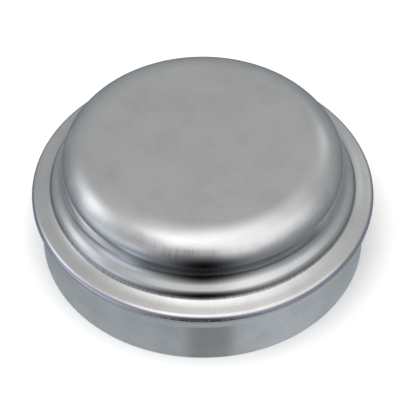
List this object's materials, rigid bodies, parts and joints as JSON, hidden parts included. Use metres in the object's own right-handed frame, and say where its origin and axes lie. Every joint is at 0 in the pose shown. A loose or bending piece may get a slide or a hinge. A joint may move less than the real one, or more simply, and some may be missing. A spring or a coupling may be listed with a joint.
{
  "type": "hub grease cap",
  "caption": "Deep-drawn steel cap with a domed crown, a stepped flange and a folded collar, pressed into a wheel hub to keep its grease in.",
  "frame": {"origin": "centre of the open rim, on the plane the cap rests on", "axes": "+Z along the cap's axis, from the open rim to the crown"},
  "size_m": [0.065, 0.065, 0.0258],
  "materials": {
    "zinc_plate": "satin zinc plate on pressed sheet steel"
  },
  "bodies": {
    "root": {"grease_cap": "zinc_plate"}
  },
  "joints": []
}
